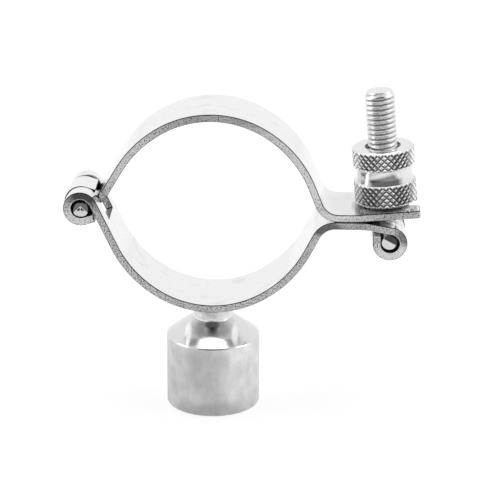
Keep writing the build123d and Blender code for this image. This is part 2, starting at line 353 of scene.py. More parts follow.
def polished_strip(tone, smudge, strip_shade_places):
    """Cold-rolled stainless strip, buffed: a mirror softened by a faint waviness and by fine lines along the strip,
    drawn 0.25 mm wide so that they show, with handling smudges, and painted shade: the nut's painted reflection under
    its foot, and painted shade on the flange beside it and in the gap beside the hinge's knuckles."""
    material, tree, shader = steel("buffed_strip", tone, 0.15)
    waves = pattern(tree, 6, 1)
    lines = pattern(tree, 0.25, 2, x=40, z=40)
    touch = pattern(tree, 3.5, 4)
    strip_shade_mask = stains(tree, strip_shade_places)
    # painted shade, and the nut's painted reflection under its foot, at the places given
    paint(tree, shader, tone, (touch, (0.55, 0.72, 1), smudge), (strip_shade_mask, None, shaded(tone, 0.16)))
    roughen(tree, shader, lines, 0.1, 0.22, waves, 0.02)
    return material


def sheared_edge(tone, pits, edge_light_tone, edge_light_pits, dark, bright):
    """Edge left by the blanking shear: matt, greyer than the faces, torn into grains of about 0.1 mm, drawn 0.25 mm
    wide so that they show. Some stretches are painted light, brighter, and painted shade darkens others, where the
    strip was bent or lies in a corner."""
    material, tree, shader = steel("sheared_edge", tone, 0.5)
    grain = pattern(tree, 0.25, 2)
    drift = pattern(tree, 4, 1)
    # painted light on the brighter stretches
    edge_light_mask = stains(tree, bright)
    between = layered(tree, tone, (drift, (0.35, 0.65, 1), shaded(tone, 0.84)), (edge_light_mask, None, edge_light_tone))
    deep = layered(tree, pits, (edge_light_mask, None, edge_light_pits))
    # painted shade where the strip was bent or lies in a corner
    edge_shade_mask = stains(tree, dark)
    paint(tree, shader, between, (grain, (0.5, 0.6, 0.95), deep), (edge_shade_mask, None, shaded(pits, 0.45)))
    roughen(tree, shader, grain, 0.35, 0.6, grain, 0.05)
    return material


def tumbled_edge(name, tone, roughness):
    """Corner rounded by tumbling: dull, a thin line beside the sheared edge, mottled every half a millimetre. Its
    tone is
    painted by which way it faces: a painted shade on the corners that face up, a lighter painted tone on those that
    face down, and round the bores it is bright as a burr."""
    material, tree, shader = steel(name, tone, roughness)
    grain = pattern(tree, 0.5, 2)
    paint(tree, shader, tone, (grain, (0.4, 0.65, 1), shaded(tone, 0.7)))
    return material


def painted_bore_shade(tone):
    """Inside of the rolled knuckles and the walls between them: painted shade, left as bent and dull, with bending
    grease in drops of about 0.8 mm in its roughness and bumps.
    """
    material, tree, shader = steel("painted_bore_shade", tone, 0.55)
    film = pattern(tree, 0.8, 2)
    roughen(tree, shader, film, 0.45, 0.65, film, 0.01)
    return material


def drawn_wire(tone):
    """Bright drawn wire: fine lines along the pin, drawn 0.2 mm wide so that they show, keep it short of a mirror."""
    material, tree, shader = steel("drawn_wire", tone, 0.25)
    lines = pattern(tree, 0.2, 2, y=20)
    roughen(tree, shader, lines, 0.18, 0.34, lines, 0.004)
    return material


def rolled_thread(tone, root):
    """Rolled thread: bright crests polished by the rolling, darker towards the root, painted shade together with the
    oil and oxide that stay there, with a fine grain, drawn 0.3 mm wide so that it shows."""
    material, tree, shader = steel("rolled_thread", tone, 0.2)
    deep = add(tree, "ShaderNodeAttribute", attribute_name="depth").outputs["Fac"]
    grain = pattern(tree, 0.3, 2)
    paint(tree, shader, tone, (deep, None, root))
    roughen(tree, shader, grain, 0.14, 0.3, grain, 0.005)
    return material


def knurled_steel(name, tone, groove, roughness):
    """Cut knurl and turned faces: bright tops, the grooves and corners darker, painted shade together with the
    cutting oil's film, with a fine grain, drawn 0.25 mm wide so that it shows. On the turned faces the dark is
    painted shade, and low in the neck's front a painted dark reflection."""
    material, tree, shader = steel(name, tone, roughness)
    deep = add(tree, "ShaderNodeAttribute", attribute_name="depth").outputs["Fac"]
    grain = pattern(tree, 0.25, 2)
    paint(tree, shader, tone, (deep, None, groove))
    roughen(tree, shader, grain, 0.7 * roughness, 1.4 * roughness, grain, 0.006)
    return material


def turned_bright(name, tone, *marks):
    """Fine-turned steel: close tool rings around the axis, drawn 0.12 mm wide so that they show, draw the highlights
    out. Each mark has its places and its colour: painted shade and painted dark reflections darken some, and painted
    highlights brighten others."""
    material, tree, shader = steel(name, tone, 0.14)
    rings = pattern(tree, 0.12, 1, x=60, y=60)
    cloud = pattern(tree, 2.5, 2)
    if marks:
        paint(tree, shader, tone, *((stains(tree, places), None, laid) for places, laid in marks))
    roughen(tree, shader, cloud, 0.1, 0.22, rings, 0.0015)
    return material


def satin_turned(tone, boss_shade_places):
    """Vibratory-finished cylinder: satin, with soft clouds a few millimetres wide, fine speckles, drawn 0.2 mm wide,
    and painted shade: greyer patches in front and darker towards the foot."""
    material, tree, shader = steel("satin_cylinder", tone, 0.34)
    clouds = pattern(tree, 2.6, 3, z=1.5)
    grain = pattern(tree, 0.22, 2)
    dull = (clouds, (0.35, 0.68, 1), shaded(tone, 0.8))
    speckled = (grain, (0.55, 0.75, 0.35), shaded(tone, 0.5))
    # painted shade: greyer in front and darker towards the foot
    boss_shade = (stains(tree, boss_shade_places), None, (0, 0, 0))
    paint(tree, shader, tone, dull, speckled, boss_shade)
    roughen(tree, shader, clouds, 0.28, 0.4, grain, 0.004)
    return material


def weld_bead(tone):
    """Brushed stainless weld: bright, soft lumps with a fine grain, drawn 0.5 mm wide so that it shows."""
    material, tree, shader = steel("brushed_weld", tone, 0.2)
    grain = pattern(tree, 0.5, 3)
    roughen(tree, shader, grain, 0.14, 0.3, grain, 0.03)
    return material


# ------------------------------------------------------------------ bands

FACE, SHEARED, BORE_PAINTED_SHADE, UPPER_PAINTED_SHADE, BURR, LOWER_PAINTED_LIGHT = range(6)  # the bands' finishes; the bore, the walls between the knuckles and the corners take painted shade and light
CORNER = radians(30)  # edges sharper than this are the strip's corners
FACE_AREA = 400 * MM * MM  # smooth regions larger than this are the strip's polished faces
MIDDLE = 5 * MM  # the walls between the knuckles lie within this of the middle
WALL_CUT = 3.35 * MM  # from a bore's axis to the cut that ends the dark part of those walls
BORE_WALL = 2.9 * MM  # what is polished and nearer to a bore's axis is the bore
# painted shade on the walls and corners between the knuckles reaches this far from the bore's axis
DARK_WALL = 3.3 * MM  # the walls between the knuckles are dark up to here
DARK_CORNER = 4 * MM  # and their corners up to here
BURR_CORNER = 3 * MM  # other corners that are nearer than this have the bore's burr

# Places on the bands, each with its centre and radii in mm, its strength, and how much of it is its full middle
# Painted shade on the polished faces: the nut's painted reflection under its foot, and painted shade on the flange
# beside it and in the gap beside the hinge's knuckles
STRIP_PAINTED_SHADE = [
    ((33.6, -2, 44), (6.3, 9.5, 3), 0.6, 0.8),  # under the nut
    ((28, 0, 44), (8, 12, 4), 0.13, 0.5),  # the flange beside it
    ((-24.1, 4, 46.7), (2.6, 1, 2.2), 0.9, 0.7),  # beside the hinge's knuckles
]
# Painted shade on the sheared edges
EDGE_PAINTED_SHADE = [
    ((-25.3, -7.5, 47.2), (4.8, 1, 4.2), 0.9, 0.45),  # over the hinge
    ((22.8, -7.5, 40.6), (5, 1, 2), 0.75, 0.5),  # root of the lower flange
    ((39, -7.5, 39), (3.4, 1, 2.2), 0.6, 0.5),  # over the bolt's knuckle
    ((-1, -7.5, 62.5), (15, 1, 5), 0.22, 0.3),  # top of the ring
    ((28, -7.5, 41), (5, 1, 2), 0.28, 0.5),  # lower flange
    ((37, -7.5, 43.5), (5, 1, 1.5), 0.15, 0.5),  # end of the upper flange
]
# Painted light on the sheared edges
EDGE_PAINTED_LIGHT = [
    ((-26.15, -7.5, 44), (2.4, 1, 2.4), 0.9, 0.92),  # around the hinge's bore
    ((-27, -7.5, 41), (4.4, 1, 3.6), 0.8, 0.4),  # under the hinge
    ((36, -7.5, 35.3), (4.6, 1, 3.6), 0.8, 0.5),  # under the bolt's knuckle
    ((18.5, -7.5, 51), (7, 1, 12), 0.8, 0.4),  # ring's right side
    ((24.5, -7.5, 43), (8, 1, 2.5), 0.8, 0.4),  # root of the upper flange
    ((13, -7.5, 58.5), (8, 1, 6), 0.5, 0.4),  # ring's upper right
    ((-17, -7.5, 54), (7, 1, 9), 0.55, 0.4),  # ring's upper left
]


def merged_copy(node):
    """A merged copy of a CAD node's triangles, its flat faces joined again."""
    bm = bmesh.new()
    bm.from_mesh(frame["nodes"][node].data)
    bmesh.ops.remove_doubles(bm, verts=bm.verts, dist=1e-6)
    bmesh.ops.dissolve_limit(bm, angle_limit=radians(0.3), verts=bm.verts, edges=bm.edges)
    return bm


def smooth_regions(bm, angle):
    """The faces grouped into regions that no sharp edge crosses."""
    left = set(bm.faces)
    while left:
        region, front = [], [left.pop()]
        while front:
            face = front.pop()
            region.append(face)
            for edge in face.edges:
                if is_sharp(edge, angle):
                    continue
                for other in edge.link_faces:
                    if other in left:
                        left.remove(other)
                        front.append(other)
        yield region


def from_bore(centre, bores):
    """How far a point lies from the nearest bore's axis."""
    return min(hypot(centre.x - bore.x, centre.z - bore.z) for bore in bores)


def rounded_band(node, name, width, materials, body, bores):
    """The bent strip with its edges tumbled round, polished on its faces and sheared on its edges."""
    bm = merged_copy(node)
    for bore in bores:
        walls = [f for f in bm.faces if abs(f.normal.y) > 0.9 and abs(f.calc_center_median().y) < MIDDLE]
        parts = {part for face in walls for part in (face, *face.edges, *face.verts)}
        edge = bore + Vector((WALL_CUT if bore.x < 0 else -WALL_CUT, 0, 0))
        bmesh.ops.bisect_plane(bm, geom=list(parts), dist=1e-8, plane_co=edge, plane_no=(1, 0, 0))
    for region in smooth_regions(bm, CORNER):
        polished = sum(face.calc_area() for face in region) > FACE_AREA
        for face in region:
            centre = face.calc_center_median()
            # near a bore, polished faces and the walls between the knuckles take the bore's painted shade
            reach = BORE_WALL if polished else DARK_WALL if abs(centre.y) < MIDDLE else 0
            inside = from_bore(centre, bores) < reach
            face.material_index = BORE_PAINTED_SHADE if inside else FACE if polished else SHEARED
    made = bmesh.ops.bevel(
        bm,
        geom=[edge for edge in bm.edges if is_sharp(edge, CORNER)],
        offset=width,
        offset_type="OFFSET",
        segments=2,
        profile=0.5,
        affect="EDGES",
        clamp_overlap=False,
        material=-1,
    )
    bm.normal_update()
    for face in made["faces"]:
        centre = face.calc_center_median()
        away = from_bore(centre, bores)
        gap = abs(centre.y) < MIDDLE and away < DARK_CORNER
        # the corners that face down take a lighter painted tone, those that face up a painted shade
        corner = LOWER_PAINTED_LIGHT if face.normal.z < -0.05 else UPPER_PAINTED_SHADE
        face.material_index = BORE_PAINTED_SHADE if gap else BURR if away < BURR_CORNER else corner
    piece = make_piece(bm, name, materials, body, node, sharp=60)
    piece.modifiers.new("Even shading", "WEIGHTED_NORMAL").keep_sharp = True


class HANGER_OT_bands(bpy.types.Operator):
    """Makes the lower and the upper band"""

    bl_idname = "hanger.bands"
    bl_label = "Bands"

    def execute(self, context):
        s = context.scene.hanger_bands
        materials = [
            polished_strip(s.skin, s.smudge, STRIP_PAINTED_SHADE),
            sheared_edge(s.edge, s.pits, s.edge_light_tone, s.edge_light_pits, EDGE_PAINTED_SHADE, EDGE_PAINTED_LIGHT),
            # painted shade in the bores and between the knuckles
            painted_bore_shade(s.bore),
            # painted shade on the corners that face up
            tumbled_edge("tumbled_edge", s.tumbled, 0.2),
            tumbled_edge("bore_burr", s.burr, 0.6),
            # a lighter painted tone on the corners that face down
            tumbled_edge("underedge_painted_light", s.under, 0.3),
        ]
        # the hinge pin lies low in its knuckles: their bores' centre is just over it
        bores = [HINGE_AXIS + Vector((0, 0, 0.35 * MM)), BOLT_AXIS]
        rounded_band("lower_band", "lower_band_strip", s.edge_round, materials, "lower_clamp", bores)
        rounded_band("upper_band", "upper_band_strip", s.edge_round, materials, "upper_clamp", bores[:1])
        return {"FINISHED"}


# ------------------------------------------------------------------ pins

WIRE, CROPPED, CHAMFER, SHOULDER_PAINTED_SHADE = range(4)  # the pins' finishes; the shoulders take a painted shade
# Facets of the cropped ends: a place in mm from the middle of the front end, where the facet faces, and its finish
ROOF = [
    ((0, 0, 0.95), (-0.41, -1, 0.28), SHOULDER_PAINTED_SHADE),
    ((0, 0, 0.95), (0.41, -1, 0.28), SHOULDER_PAINTED_SHADE),
    ((0, 0, 0.85), (0, -1, -0.13), CROPPED),
]
SLANT = [
    ((0, 0, 0.25), (0.25, -1, 0.5), SHOULDER_PAINTED_SHADE),
    ((0, 0, 0.25), (-0.12, -1, -0.18), CROPPED),
]
# Painted shade of chips on both sides of the roof's ridge: place and radii in mm, across and up from the pin's axis
CHIPS = [((0.24, 0.22), (0.2, 0.34)), ((0.46, 0.04), (0.3, 0.2))]


def cropped_pin(name, node, axis, facets, s, materials):
    """A chamfered pin along Y, its front end faceted by the cropping tool."""
    bm = bmesh.new()
    turn = Matrix.Rotation(radians(90), 4, "X")
    radius = s.diameter / 2
    bmesh.ops.create_cone(bm, cap_ends=True, segments=72, radius1=radius, radius2=radius, depth=s.span, matrix=turn)
    rims = [edge for edge in bm.edges if is_sharp(edge, radians(60))]
    made = bmesh.ops.bevel(
        bm, geom=rims, offset=s.chamfer, offset_type="OFFSET", segments=3, profile=0.5, affect="EDGES", material=-1
    )
    for face in made["faces"]:
        face.material_index = CHAMFER
    for place, normal, finish in facets:
        for face in cut(bm, Vector(place) * MM - Vector((0, s.span / 2, 0)), normal):
            face.material_index = finish
    bmesh.ops.recalc_face_normals(bm, faces=bm.faces)
    bmesh.ops.translate(bm, verts=bm.verts, vec=axis)
    make_piece(bm, name, materials, "lower_clamp", node, sharp=20)


class HANGER_OT_pins(bpy.types.Operator):
    """Makes the hinge pin and the bolt's pin"""

    bl_idname = "hanger.pins"
    bl_label = "Pins"

    def execute(self, context):
        s = context.scene.hanger_pins
        x, _, z = HINGE_AXIS / MM
        chip_painted_shade = []
        for side in (-1, 1):
            for (across, up), (wide, high) in CHIPS:
                chip_painted_shade.append(((x + side * across, 0, z + up), (wide, 99, high), 1, 0.85))
        materials = [
            drawn_wire(s.steel),
            # painted shade at the chips beside the roof's ridge
            turned_bright("cropped_end", s.steel, (chip_painted_shade, shaded(s.steel, 0.06))),
            tumbled_edge("cropping_ridge", s.ridge, 0.5),
            # the shoulder facets, which face up: painted shade, the pin's steel at 0.22 of its brightness
            turned_bright("cropped_shoulder_painted_shade", shaded(s.steel, 0.22)),
        ]
        cropped_pin("hinge_pin_cropped", "hinge_pin", HINGE_AXIS, ROOF, s, materials)
        cropped_pin("bolt_pin_cropped", "bolt_pin", BOLT_AXIS, SLANT, s, materials)
        return {"FINISHED"}


# ------------------------------------------------------------------ swing bolt

THREAD_STEPS = 72
CREST_ROUND = 0.02 * MM  # rounding of the thread's crests and roots
EYE_ROUND = 0.15 * MM  # rounding of the eye's edges
POINT_SLOPE = 0.5  # how fast the tip narrows


def thread_turns(s, first, last):
    """The threaded shell between two heights, wound from one full-length profile: in each turn a flat crest, a flank
    down, a narrow root and a flank up, at shares of the pitch."""
    crest = s.diameter / 2
    root = crest - s.depth
    turn = [(crest - CREST_ROUND, 0), (crest, 0.04), (crest, 0.42), (crest - CREST_ROUND, 0.46)]
    turn += [(root, 0.74), (root - CREST_ROUND, 0.77), (root, 0.8)]
    count = int((last - first) / s.pitch) + 4
    bm = bmesh.new()
    start = first - 2 * s.pitch
    verts = [bm.verts.new((r, 0, start + (k + part) * s.pitch)) for k in range(count) for r, part in turn]
    for pair in zip(verts, verts[1:]):
        bm.edges.new(pair)
    bmesh.ops.spin(
        bm,
        geom=bm.verts[:] + bm.edges[:],
        cent=(0, 0, 0),
        axis=(0, 0, 1),
        dvec=(0, 0, s.pitch / THREAD_STEPS),
        angle=tau,
        steps=THREAD_STEPS,
        use_merge=False,
    )
    bmesh.ops.remove_doubles(bm, verts=bm.verts, dist=2e-6)
    return bm


def bolt_eye(s):
    """The eye: a ring along Y with rounded edges."""
    half, outer, inner = s.eye_width / 2, s.eye_diameter / 2, s.eye_hole / 2
    e = EYE_ROUND
    low = [(inner, -half + e), (inner + e, -half), (outer - e, -half)]
    low += [(outer - 0.3 * e, -half + 0.3 * e), (outer, -half + e)]
    ring = low + [(r, -z) for r, z in reversed(low)]
    eye = spun(ring, 96)
    bmesh.ops.rotate(eye, verts=eye.verts, cent=(0, 0, 0), matrix=Matrix.Rotation(radians(90), 3, "X"))
    whole = bpy.data.meshes.new("eye")
    eye.to_mesh(whole)
    eye.free()
    return whole


class HANGER_OT_bolt(bpy.types.Operator):
    """Makes the swing bolt with its thread and its eye"""

    bl_idname = "hanger.bolt"
    bl_label = "Swing bolt"

    def execute(self, context):
        s = context.scene.hanger_bolt
        start = s.eye_hole / 2 + EYE_ROUND
        point = s.reach - s.point
        bm = thread_turns(s, start, s.reach)
        whole = bm.verts[:] + bm.edges[:] + bm.faces[:]
        bmesh.ops.bisect_plane(bm, geom=whole, dist=1e-8, plane_co=(0, 0, point), plane_no=(0, 0, 1))
        for vert in bm.verts:
            limit = s.diameter / 2 - POINT_SLOPE * (vert.co.z - point)
            if vert.co.z > point and off_axis(vert.co) > limit:
                set_radius(vert, limit)
        cut(bm, (0, 0, s.reach), (0, 0, 1))
        cut(bm, (0, 0, start), (0, 0, -1))
        bmesh.ops.recalc_face_normals(bm, faces=bm.faces)
        deep = bm.verts.layers.float.new("depth")
        for vert in bm.verts:
            below = s.diameter / 2 - off_axis(vert.co) - POINT_SLOPE * max(0, vert.co.z - point)
            vert[deep] = within(below / s.depth)
        eye = bolt_eye(s)
        bm.from_mesh(eye)
        bpy.data.meshes.remove(eye)
        bmesh.ops.transform(bm, matrix=BOLT_FRAME, verts=bm.verts)
        materials = [rolled_thread(s.steel, s.root)]
        make_piece(bm, "swing_bolt_threaded", materials, "bolt", "swing_bolt", sharp=25)
        return {"FINISHED"}


# ------------------------------------------------------------------ knurled nut

KNURLED, TURNED = range(2)  # the nut's finishes
KNURL_LINES = 30  # grooves of each hand around the nut
GROOVE_CELLS = 8  # mesh columns from one groove to the next
COLUMNS = KNURL_LINES * GROOVE_CELLS
HALF_GROOVE = 2.8  # half of a groove's width, in columns
LOWER_KNURL = (0.7 * MM, 4.7 * MM, 24)  # first and last height, and mesh rows between them
UPPER_KNURL = (8.2 * MM, 11.5 * MM, 20)
BETWEEN = 6 * MM  # parts the lower knurl from the upper one
NECK_FOOT, NECK_TOP = 5.0 * MM, 7.9 * MM
NECK_MIDDLE = 6.45 * MM
NECK_CURVE = 5.2 * MM  # radius of the neck's hollow
NUT_TOP = 11.9 * MM
COUNTERSUNK = 0.6 * MM  # how much wider than the bore its mouths are
THREAD_FOOT, THREAD_TOP = 0.6 * MM, 11.1 * MM
THREAD_DEPTH = 0.3 * MM
NEAR = 0.01 * MM  # two places that are closer than this are the same
KNURL_PAINTED_SHADE = 0.15  # how much painted shade lies on the whole lower knurl
FOOT_PAINTED_SHADE = 0.55  # and on the chamfer at the foot


def nut_profile(r, waist, bore, mouth):
    """Radius and height of the points around the nut's section, up the outside and down the bore."""
    low, low_end, low_rows = LOWER_KNURL
    high, high_end, high_rows = UPPER_KNURL
    outer = [(mouth + 0.1 * MM, 0)]
    outer += [(r - low + h, h) for h in levels(0, low, 4)]
    outer += [(r, z) for z in levels(low, low_end, low_rows)[1:]]
    outer += [(r - 0.15 * MM, 4.85 * MM), (r - 0.3 * MM, NECK_FOOT), (waist + 0.28 * MM, NECK_FOOT)]
    for z in levels(5.05 * MM, 7.85 * MM, 12):
        outer.append((waist + NECK_CURVE - sqrt(NECK_CURVE**2 - (z - NECK_MIDDLE) ** 2), z))
    outer += [(waist + 0.28 * MM, NECK_TOP), (r - 0.3 * MM, NECK_TOP), (r - 0.15 * MM, 8.05 * MM)]
    outer += [(r, z) for z in levels(high, high_end, high_rows)]
    outer += [(r - 0.15 * MM, 11.66 * MM), (r - 0.3 * MM, 11.81 * MM), (r - 0.42 * MM, 11.87 * MM)]
    rim = [(r - 0.6 * MM, NUT_TOP), (mouth + 0.2 * MM, NUT_TOP)]
    rim += [(mouth + 0.06 * MM, 11.87 * MM), (mouth - 0.05 * MM, 11.78 * MM)]
    inner = [(bore, z) for z in levels(THREAD_TOP, THREAD_FOOT, 64)]
    return outer + rim + inner + [(mouth, 0.06 * MM)]


def knurl_depth(column, z):
    """How deep the crossed grooves are at a column and a height, from 0 on a diamond's top to 1 in a groove."""
    first, last, rows = LOWER_KNURL if z < BETWEEN else UPPER_KNURL
    row = round((z - first) / (last - first) * rows)
    depth = 0
    for line in (column + row, column - row):
        away = abs((line + GROOVE_CELLS // 2) % GROOVE_CELLS - GROOVE_CELLS // 2)
        depth = max(depth, 1 - away / HALF_GROOVE)
    inside = min(z - first, last - z)
    return depth * within(inside / (0.1 * MM) + 0.6)


def neck_painted_reflection(angle, z):
    """How much painted dark reflection lies at a place on the neck: low in it, in front."""
    aside = abs((angle + pi / 2 + pi) % tau - pi)
    return 0.9 * within((radians(40) - aside) / radians(14)) * within((6.35 * MM - z) / (0.3 * MM))


def split_across_grooves(bm, least):
    """Splits the sloping faces of the knurl along their valleys."""
    for face in list(bm.faces):
        if len(face.verts) != 4:
            continue
        radii = [off_axis(v.co) for v in face.verts]
        if min(radii) > least and max(radii) - min(radii) > 0.02 * MM:
            a, b, c, d = face.verts
            valley = (a, c) if radii[0] + radii[2] < radii[1] + radii[3] else (b, d)
            bmesh.utils.face_split(face, *valley)


class HANGER_OT_nut(bpy.types.Operator):
    """Makes the nut with its two knurls, its neck and its threaded bore"""

    bl_idname = "hanger.nut"
    bl_label = "Knurled nut"

    def execute(self, context):
        s = context.scene.hanger_nut
        r, bore = s.diameter / 2, s.bore / 2
        waist = r - s.neck_depth
        mouth = bore + COUNTERSUNK
        bm = spun(nut_profile(r, waist, bore, mouth), COLUMNS)
        deep = bm.verts.layers.float.new("depth")
        for vert in bm.verts:
            radius = off_axis(vert.co)
            angle = atan2(vert.co.y, vert.co.x)
            z = vert.co.z
            if radius > r - 0.35 * MM:
                limit = r - knurl_depth(round(angle / tau * COLUMNS), z) * s.groove
                # the lower knurl is painted a little darker all over, as painted shade, besides the painted shade in
                # its grooves
                knurl_shade_share = KNURL_PAINTED_SHADE if z < BETWEEN else 0
                vert[deep] = min(1, knurl_shade_share + max(0, (min(radius, r) - limit) / s.groove))
                if radius > limit:
                    set_radius(vert, limit)
            elif radius > waist - NEAR and NECK_FOOT - NEAR < z < NECK_TOP + NEAR:
                # painted dark reflection low in the neck's front
                vert[deep] = neck_painted_reflection(angle, z)
            elif z < LOWER_KNURL[0] - NEAR and radius > mouth + 0.2 * MM:
                # painted shade on the chamfer at the foot
                vert[deep] = FOOT_PAINTED_SHADE
            elif bore + NEAR < radius < mouth + NEAR and z > 11.7 * MM:
                # painted shade in the countersink, dark at the ends beside the bolt
                vert[deep] = within((abs(cos(angle)) - 0.5) / 0.2)
            elif radius < bore + NEAR:
                turn = (z / MM - angle / tau) % 1
                swell = THREAD_DEPTH * max(0, 1 - abs(turn - 0.5) / 0.4)
                edge = min(z - THREAD_FOOT, THREAD_TOP - z)
                set_radius(vert, bore + min(swell, max(0, edge)))
                # painted shade all through the threaded bore
                vert[deep] = 1
        split_across_grooves(bm, r - s.groove - NEAR)
        for face in bm.faces:
            centre = face.calc_center_median()
            radius = off_axis(centre)
            neck = waist - 2 * NEAR < radius < r - 0.31 * MM and NECK_FOOT - NEAR < centre.z < NECK_TOP + NEAR
            foot = radius > mouth and centre.z < LOWER_KNURL[0] - 2 * NEAR
            well = radius < mouth - 2 * NEAR and centre.z > 10 * MM
            face.material_index = TURNED if neck or foot or well else KNURLED
        bmesh.ops.transform(bm, matrix=BOLT_FRAME @ Matrix.Translation((0, 0, s.heel)), verts=bm.verts)
        materials = [
            knurled_steel("knurled_steel", s.steel, s.groove_oil_and_shade, 0.2),
            # painted shade at the foot and in the countersink, painted dark reflection low in the neck
            knurled_steel("turned_neck_painted_shade", s.steel, s.oil, 0.13),
        ]
        make_piece(bm, "knurled_nut_cut", materials, "nut", "knurled_nut", sharp=28)
        return {"FINISHED"}


# ------------------------------------------------------------------ boss and weld

SATIN, BRIGHT, TAPPED = range(3)  # the boss's finishes; the tapped hole takes a painted shade
TAP_DEPTH = 0.75 * MM  # depth of the thread in the boss, and width of its countersink
DRILL_POINT = 1.6643  # tangent of half of the drill's 118 degrees
COUNTERSINK = 1.732  # tangent of half of the countersink's 120 degrees

# Places on the boss, each with its centre and radii in mm, its strength, and how much of it is its full middle
# Painted shade on the satin cylinder: greyer in front and darker towards the foot
BOSS_PAINTED_SHADE = [
    ((0, -9.6, 0), (10, 5, 4.5), 0.3, 0.5),  # in front at the foot
    ((-1, -9.6, 9), (6, 4, 9), 0.16, 0.4),  # in front, up the middle
]
# Painted dark reflections on the cone, beside the weld and low on both sides
CONE_PAINTED_REFLECTION = [
    ((0, -4.9, 18.8), (2.8, 1.5, 2), 0.85, 0.5),  # beside the weld
    ((0, -5, 17.5), (6, 3.4, 4), 0.45, 0.5),  # around it on the cone
    ((-3.7, -7.6, 15.6), (1.7, 1.8, 1.6), 0.6, 0.35),  # low on the cone, on both sides
    ((3.7, -7.6, 15.6), (1.7, 1.8, 1.6), 0.6, 0.35),
]
# Painted highlights on the cone
CONE_PAINTED_HIGHLIGHT = [
    ((-4.9, -5.2, 17), (0.9, 3.8, 3), 1, 0.4),  # stripes up the cone, on both sides
    ((4.7, -5.2, 17), (0.9, 3.8, 3), 1, 0.4),
]

WELD_FOOT = 18.7 * MM  # just inside the boss's shoulder
STRIP_FOOT = 22.25 * MM  # underside of the strip over the boss's axis
STRIP_CURVE = 20.8 * MM  # radius of the ring's outside
SUNK = 0.15 * MM  # how far the weld reaches into the strip


def boss_profile(s, hole, mouth, tip):
    """Radius and height of the points around the boss's section, from the foot up the outside and down the hole."""
    r, neck = s.diameter / 2, s.neck / 2
    shoulder = s.height + s.cone
    top = shoulder + 3.4 * MM
    profile = [(mouth + 0.08 * MM, 0), (r - 0.25 * MM, 0), (r - 0.07 * MM, 0.07 * MM), (r, 0.25 * MM)]
    profile += [(r, z) for z in levels(0.25 * MM, s.height - 0.22 * MM, 6)[1:]]
    profile += [(r - 0.07 * MM, s.height - 0.07 * MM), (r - 0.25 * MM, s.height + 0.1 * MM)]
    profile += [(neck + 0.95 * MM, shoulder - 0.1 * MM), (neck + 0.7 * MM, shoulder), (neck, shoulder)]
    profile += [(neck, top), (0, top), (0, tip), (hole, s.depth)]
    profile += [(hole, z) for z in levels(s.depth, TAP_DEPTH / COUNTERSINK, 46)[1:]]
    return profile + [(mouth - 0.04 * MM, 0.03 * MM)]


class HANGER_OT_boss(bpy.types.Operator):
    """Makes the turned boss with its cone and its tapped hole"""

    bl_idname = "hanger.boss"
    bl_label = "Socket boss"

    def execute(self, context):
        s = context.scene.hanger_boss
        r, hole = s.diameter / 2, s.tapped / 2
        mouth = hole + TAP_DEPTH
        tip = s.depth + hole / DRILL_POINT
        bm = spun(boss_profile(s, hole, mouth, tip), 144)
        for vert in bm.verts:
            if abs(off_axis(vert.co) - hole) < NEAR:
                turn = (vert.co.z / s.pitch - atan2(vert.co.y, vert.co.x) / tau) % 1
                swell = TAP_DEPTH * max(0, 1 - abs(turn - 0.5) / 0.42)
                set_radius(vert, hole + min(swell, max(0, s.depth - vert.co.z)))
        for face in bm.faces:
            centre = face.calc_center_median()
            radius = off_axis(centre)
            if radius > r - 2 * NEAR and abs(face.normal.z) < 0.1:
                face.material_index = SATIN
            elif radius < mouth and centre.z < tip + 0.1 * MM:
                face.material_index = TAPPED
            else:
                face.material_index = BRIGHT
        materials = [
            satin_turned(s.satin, BOSS_PAINTED_SHADE),
            # painted dark reflections and painted highlights on the cone
            turned_bright("turned_cone", s.turned, (CONE_PAINTED_REFLECTION, s.tint), (CONE_PAINTED_HIGHLIGHT, (1, 1, 1))),
            # the tapped hole's wall: painted shade, the turned steel at 0.7 of its brightness
            turned_bright("tapped_wall_painted_shade", shaded(s.turned, 0.7)),
        ]
        make_piece(bm, "socket_boss_turned", materials, "lower_clamp", "socket_boss", sharp=25)
        return {"FINISHED"}


def strip_underside(x):
    """The height at which the weld ends inside the strip, over a place across the ring."""
    return STRIP_FOOT + STRIP_CURVE - sqrt(STRIP_CURVE**2 - x**2) + SUNK


class HANGER_OT_weld(bpy.types.Operator):
    """Makes the rippled weld between the boss and the lower band"""

    bl_idname = "hanger.weld"
    bl_label = "Boss weld"

    def execute(self, context):
        s = context.scene.hanger_weld
        core = 3.3 * MM
        side = [(s.radius, z) for z in levels(WELD_FOOT, STRIP_FOOT, 22)]
        bm = spun([(core, WELD_FOOT), *side, (core, STRIP_FOOT)], 120)
        for vert in bm.verts:
            if off_axis(vert.co) < core + 0.2 * MM:
                if vert.co.z > WELD_FOOT + 1 * MM:
                    vert.co.z = strip_underside(vert.co.x)
                continue
            rise = (vert.co.z - WELD_FOOT) / (STRIP_FOOT - WELD_FOOT)
            angle = atan2(vert.co.y, vert.co.x)
            spread = s.flare * max(0, (rise - 0.35) / 0.65) ** 1.6 + 0.18 * MM * max(0, 1 - rise / 0.12)
            lumps = 0.12 * MM * noise.noise(Vector((1.6 * cos(angle), 1.6 * sin(angle), 3 * rise)))
            beads = s.ripple * abs(sin(11 * angle + 1.4 * sin(3 * angle))) * min(1, 3 * rise) * min(1, 3 * (1 - rise))
            set_radius(vert, s.radius + spread + lumps + beads)
            vert.co.z += (strip_underside(vert.co.x) - STRIP_FOOT) * rise
        bmesh.ops.recalc_face_normals(bm, faces=bm.faces)
        make_piece(bm, "boss_weld_bead", [weld_bead(s.steel)], "lower_clamp", "boss_weld", sharp=60)
        return {"FINISHED"}


# ------------------------------------------------------------------ stage

